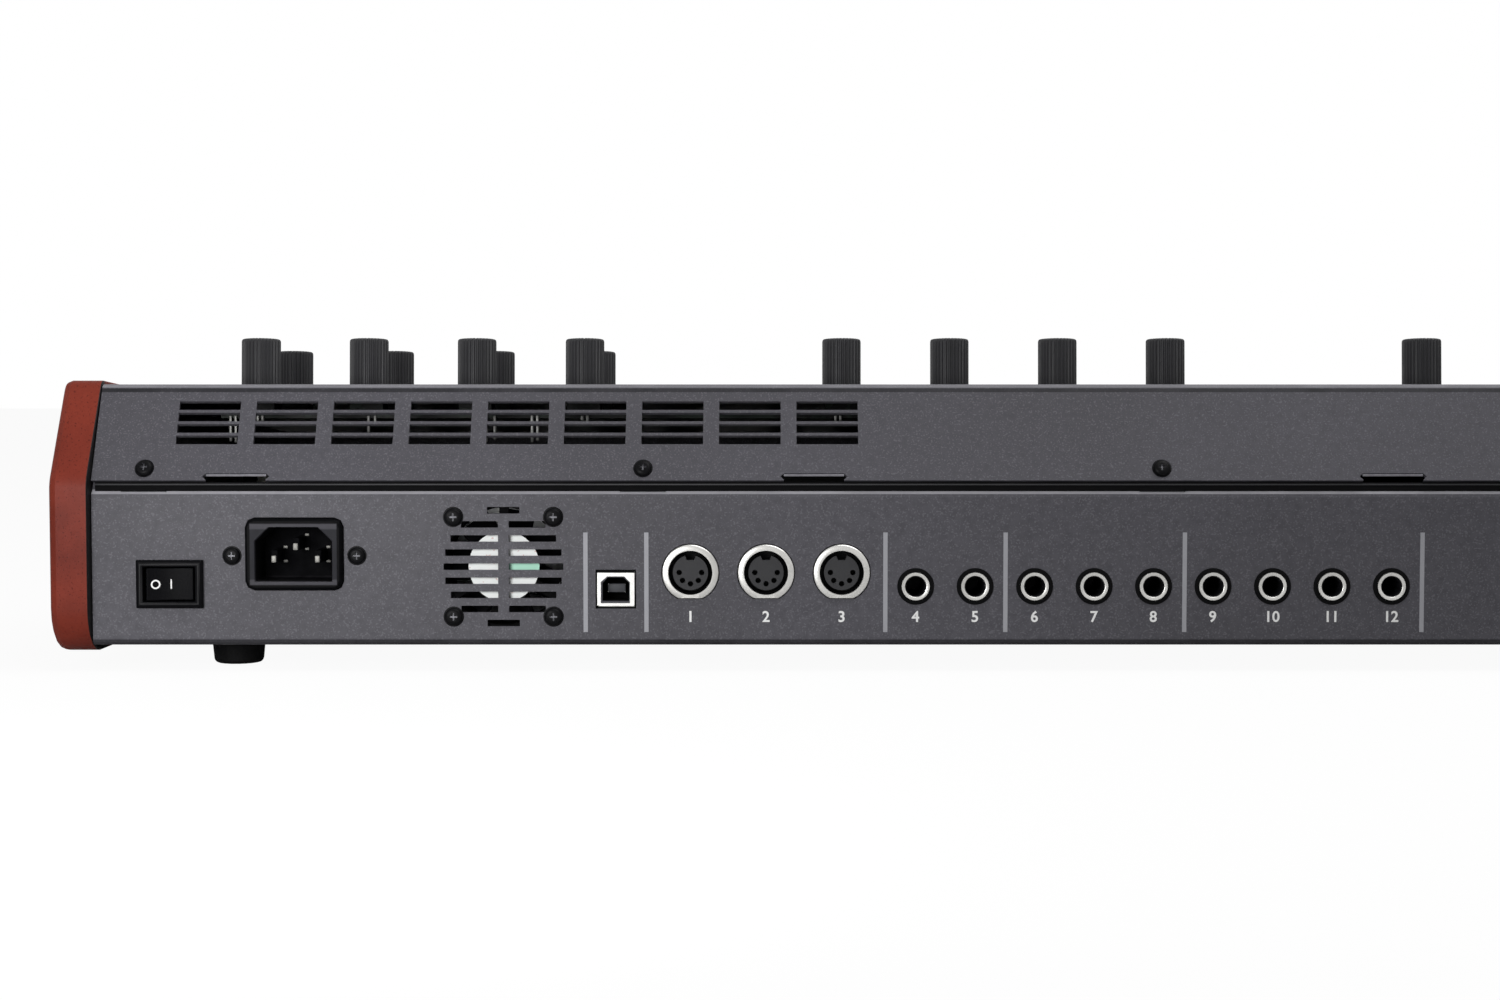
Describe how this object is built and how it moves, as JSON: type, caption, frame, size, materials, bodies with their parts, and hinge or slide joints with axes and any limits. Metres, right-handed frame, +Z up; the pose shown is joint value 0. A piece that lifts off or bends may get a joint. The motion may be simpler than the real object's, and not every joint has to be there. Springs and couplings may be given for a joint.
{
  "type": "analog synthesizer",
  "caption": "Keyboard synthesizer in a folded steel case with wooden cheeks, turning panel knobs, sprung keys and levers, a fan and rear sockets.",
  "frame": {"origin": "on the ground under the middle of the instrument", "axes": "+X along the keyboard to the player's right, +Y from the player to the connectors, +Z up"},
  "size_m": [1, 0.376, 0.1076],
  "materials": {
    "case_paint": "satin charcoal powder coat",
    "cheek_wood": "red-brown varnished",
    "foot_rubber": "matt",
    "connector_plastic": "fine matt",
    "knob_plastic": "satin, fluted",
    "plated_steel": "zinc plated",
    "supply_aluminium": "plain",
    "board_green": "circuit board lacquer",
    "white_key_plastic": "polished",
    "black_key_plastic": "fine matt",
    "display_glass": "clear cover over a dark display"
  },
  "bodies": {
    "chassis": {"bottom_tray": "case_paint", "display_window": "display_glass", "end_block": "case_paint", "fan_frame": "connector_plastic", "foot_front_left": "foot_rubber", "foot_front_right": "foot_rubber", "foot_rear_left": "foot_rubber", "foot_rear_right": "foot_rubber", "footswitch_jack_1": "connector_plastic", "footswitch_jack_2": "connector_plastic", "footswitch_jack_3": "connector_plastic", "jack_board": "board_green", "key_frame": "plated_steel", "left_cheek": "cheek_wood", "lever_panel": "case_paint", "main_board": "board_green", "midi_socket_in": "connector_plastic", "midi_socket_out": "connector_plastic", "midi_socket_thru": "connector_plastic", "output_jack_1": "connector_plastic", "output_jack_2": "connector_plastic", "output_jack_3": "connector_plastic", "panel_board": "board_green", "pedal_jack_1": "connector_plastic", "pedal_jack_2": "connector_plastic", "phones_jack": "connector_plastic", "power_inlet": "connector_plastic", "power_supply": "supply_aluminium", "power_switch_frame": "connector_plastic", "right_cheek": "cheek_wood", "top_panel": "case_paint", "usb_socket": "plated_steel"},
    "rear_knob_1": {"rear_knob_1": "knob_plastic"},
    "rear_knob_2": {"rear_knob_2": "knob_plastic"},
    "rear_knob_3": {"rear_knob_3": "knob_plastic"},
    "rear_knob_4": {"rear_knob_4": "knob_plastic"},
    "rear_knob_5": {"rear_knob_5": "knob_plastic"},
    "rear_knob_6": {"rear_knob_6": "knob_plastic"},
    "rear_knob_7": {"rear_knob_7": "knob_plastic"},
    "rear_knob_8": {"rear_knob_8": "knob_plastic"},
    "rear_knob_9": {"rear_knob_9": "knob_plastic"},
    "second_row_knob_1": {"second_row_knob_1": "knob_plastic"},
    "second_row_knob_2": {"second_row_knob_2": "knob_plastic"},
    "second_row_knob_3": {"second_row_knob_3": "knob_plastic"},
    "second_row_knob_4": {"second_row_knob_4": "knob_plastic"},
    "fan_rotor": {"fan_rotor": "connector_plastic"},
    "power_rocker": {"power_rocker": "connector_plastic"},
    "pitch_lever": {"pitch_lever": "connector_plastic"},
    "mod_lever": {"mod_lever": "connector_plastic"},
    "white_keys_1": {"white_keys_1": "white_key_plastic"},
    "white_keys_2": {"white_keys_2": "white_key_plastic"},
    "white_keys_3": {"white_keys_3": "white_key_plastic"},
    "white_keys_4": {"white_keys_4": "white_key_plastic"},
    "white_keys_5": {"white_keys_5": "white_key_plastic"},
    "black_keys_1": {"black_keys_1": "black_key_plastic"},
    "black_keys_2": {"black_keys_2": "black_key_plastic"},
    "black_keys_3": {"black_keys_3": "black_key_plastic"},
    "black_keys_4": {"black_keys_4": "black_key_plastic"},
    "black_keys_5": {"black_keys_5": "black_key_plastic"},
    "top_c_key": {"top_c_key": "white_key_plastic"}
  },
  "joints": [
    {"name": "rear_knob_1_turn", "type": "hinge", "parent": "chassis", "child": "rear_knob_1", "pos_m": [0.4415, 0.13946, 0.09023], "axis": [0, -0.0645, 0.9979], "range_deg": [-150, 150]},
    {"name": "rear_knob_2_turn", "type": "hinge", "parent": "chassis", "child": "rear_knob_2", "pos_m": [0.4051, 0.13946, 0.09023], "axis": [0, -0.0645, 0.9979], "range_deg": [-150, 150]},
    {"name": "rear_knob_3_turn", "type": "hinge", "parent": "chassis", "child": "rear_knob_3", "pos_m": [0.3687, 0.13946, 0.09023], "axis": [0, -0.0645, 0.9979], "range_deg": [-150, 150]},
    {"name": "rear_knob_4_turn", "type": "hinge", "parent": "chassis", "child": "rear_knob_4", "pos_m": [0.3323, 0.13946, 0.09023], "axis": [0, -0.0645, 0.9979], "range_deg": [-150, 150]},
    {"name": "rear_knob_5_turn", "type": "hinge", "parent": "chassis", "child": "rear_knob_5", "pos_m": [0.2458, 0.13946, 0.09023], "axis": [0, -0.0645, 0.9979], "range_deg": [-150, 150]},
    {"name": "rear_knob_6_turn", "type": "hinge", "parent": "chassis", "child": "rear_knob_6", "pos_m": [0.2094, 0.13946, 0.09023], "axis": [0, -0.0645, 0.9979], "range_deg": [-150, 150]},
    {"name": "rear_knob_7_turn", "type": "hinge", "parent": "chassis", "child": "rear_knob_7", "pos_m": [0.173, 0.13946, 0.09023], "axis": [0, -0.0645, 0.9979], "range_deg": [-150, 150]},
    {"name": "rear_knob_8_turn", "type": "hinge", "parent": "chassis", "child": "rear_knob_8", "pos_m": [0.1366, 0.13946, 0.09023], "axis": [0, -0.0645, 0.9979], "range_deg": [-150, 150]},
    {"name": "rear_knob_9_turn", "type": "hinge", "parent": "chassis", "child": "rear_knob_9", "pos_m": [0.0501, 0.13946, 0.09023], "axis": [0, -0.0645, 0.9979], "range_deg": [-150, 150]},
    {"name": "second_row_knob_1_turn", "type": "hinge", "parent": "chassis", "child": "second_row_knob_1", "pos_m": [0.4415, 0.08158, 0.08649], "axis": [0, -0.0645, 0.9979], "range_deg": [-150, 150]},
    {"name": "second_row_knob_2_turn", "type": "hinge", "parent": "chassis", "child": "second_row_knob_2", "pos_m": [0.4051, 0.08158, 0.08649], "axis": [0, -0.0645, 0.9979], "range_deg": [-150, 150]},
    {"name": "second_row_knob_3_turn", "type": "hinge", "parent": "chassis", "child": "second_row_knob_3", "pos_m": [0.3687, 0.08158, 0.08649], "axis": [0, -0.0645, 0.9979], "range_deg": [-150, 150]},
    {"name": "second_row_knob_4_turn", "type": "hinge", "parent": "chassis", "child": "second_row_knob_4", "pos_m": [0.3323, 0.08158, 0.08649], "axis": [0, -0.0645, 0.9979], "range_deg": [-150, 150]},
    {"name": "fan_spin", "type": "hinge", "parent": "chassis", "child": "fan_rotor", "pos_m": [0.3552, 0.1822, 0.0337], "axis": [0, 1, 0], "continuous": true},
    {"name": "power_rocker_tilt", "type": "hinge", "parent": "chassis", "child": "power_rocker", "pos_m": [0.462, 0.1838, 0.0282], "axis": [0, 0, 1], "range_deg": [-20, 0]},
    {"name": "pitch_lever_tilt", "type": "hinge", "parent": "chassis", "child": "pitch_lever", "pos_m": [-0.40775, -0.1065, 0.04], "axis": [1, 0, 0], "range_deg": [-20, 20], "stiffness_Nm_per_rad": 0.3},
    {"name": "mod_lever_tilt", "type": "hinge", "parent": "chassis", "child": "mod_lever", "pos_m": [-0.45175, -0.1065, 0.04], "axis": [1, 0, 0], "range_deg": [-20, 20], "stiffness_Nm_per_rad": 0.3},
    {"name": "white_keys_1_press", "type": "hinge", "parent": "chassis", "child": "white_keys_1", "pos_m": [-0.3725, -0.002, 0.049], "axis": [1, 0, 0], "range_deg": [0, 3.2], "stiffness_Nm_per_rad": 5, "springref_deg": -9.45},
    {"name": "white_keys_2_press", "type": "hinge", "parent": "chassis", "child": "white_keys_2", "pos_m": [-0.208, -0.002, 0.049], "axis": [1, 0, 0], "range_deg": [0, 3.2], "stiffness_Nm_per_rad": 5, "springref_deg": -9.45},
    {"name": "white_keys_3_press", "type": "hinge", "parent": "chassis", "child": "white_keys_3", "pos_m": [-0.0435, -0.002, 0.049], "axis": [1, 0, 0], "range_deg": [0, 3.2], "stiffness_Nm_per_rad": 5, "springref_deg": -9.45},
    {"name": "white_keys_4_press", "type": "hinge", "parent": "chassis", "child": "white_keys_4", "pos_m": [0.121, -0.002, 0.049], "axis": [1, 0, 0], "range_deg": [0, 3.2], "stiffness_Nm_per_rad": 5, "springref_deg": -9.45},
    {"name": "white_keys_5_press", "type": "hinge", "parent": "chassis", "child": "white_keys_5", "pos_m": [0.2855, -0.002, 0.049], "axis": [1, 0, 0], "range_deg": [0, 3.2], "stiffness_Nm_per_rad": 5, "springref_deg": -9.45},
    {"name": "black_keys_1_press", "type": "hinge", "parent": "chassis", "child": "black_keys_1", "pos_m": [-0.3725, 0.011, 0.049], "axis": [1, 0, 0], "range_deg": [0, 3.2], "stiffness_Nm_per_rad": 3.5, "springref_deg": -9.45},
    {"name": "black_keys_2_press", "type": "hinge", "parent": "chassis", "child": "black_keys_2", "pos_m": [-0.208, 0.011, 0.049], "axis": [1, 0, 0], "range_deg": [0, 3.2], "stiffness_Nm_per_rad": 3.5, "springref_deg": -9.45},
    {"name": "black_keys_3_press", "type": "hinge", "parent": "chassis", "child": "black_keys_3", "pos_m": [-0.0435, 0.011, 0.049], "axis": [1, 0, 0], "range_deg": [0, 3.2], "stiffness_Nm_per_rad": 3.5, "springref_deg": -9.45},
    {"name": "black_keys_4_press", "type": "hinge", "parent": "chassis", "child": "black_keys_4", "pos_m": [0.121, 0.011, 0.049], "axis": [1, 0, 0], "range_deg": [0, 3.2], "stiffness_Nm_per_rad": 3.5, "springref_deg": -9.45},
    {"name": "black_keys_5_press", "type": "hinge", "parent": "chassis", "child": "black_keys_5", "pos_m": [0.2855, 0.011, 0.049], "axis": [1, 0, 0], "range_deg": [0, 3.2], "stiffness_Nm_per_rad": 3.5, "springref_deg": -9.45},
    {"name": "top_c_key_press", "type": "hinge", "parent": "chassis", "child": "top_c_key", "pos_m": [0.45, -0.002, 0.049], "axis": [1, 0, 0], "range_deg": [0, 3.2], "stiffness_Nm_per_rad": 0.75, "springref_deg": -9.45}
  ]
}
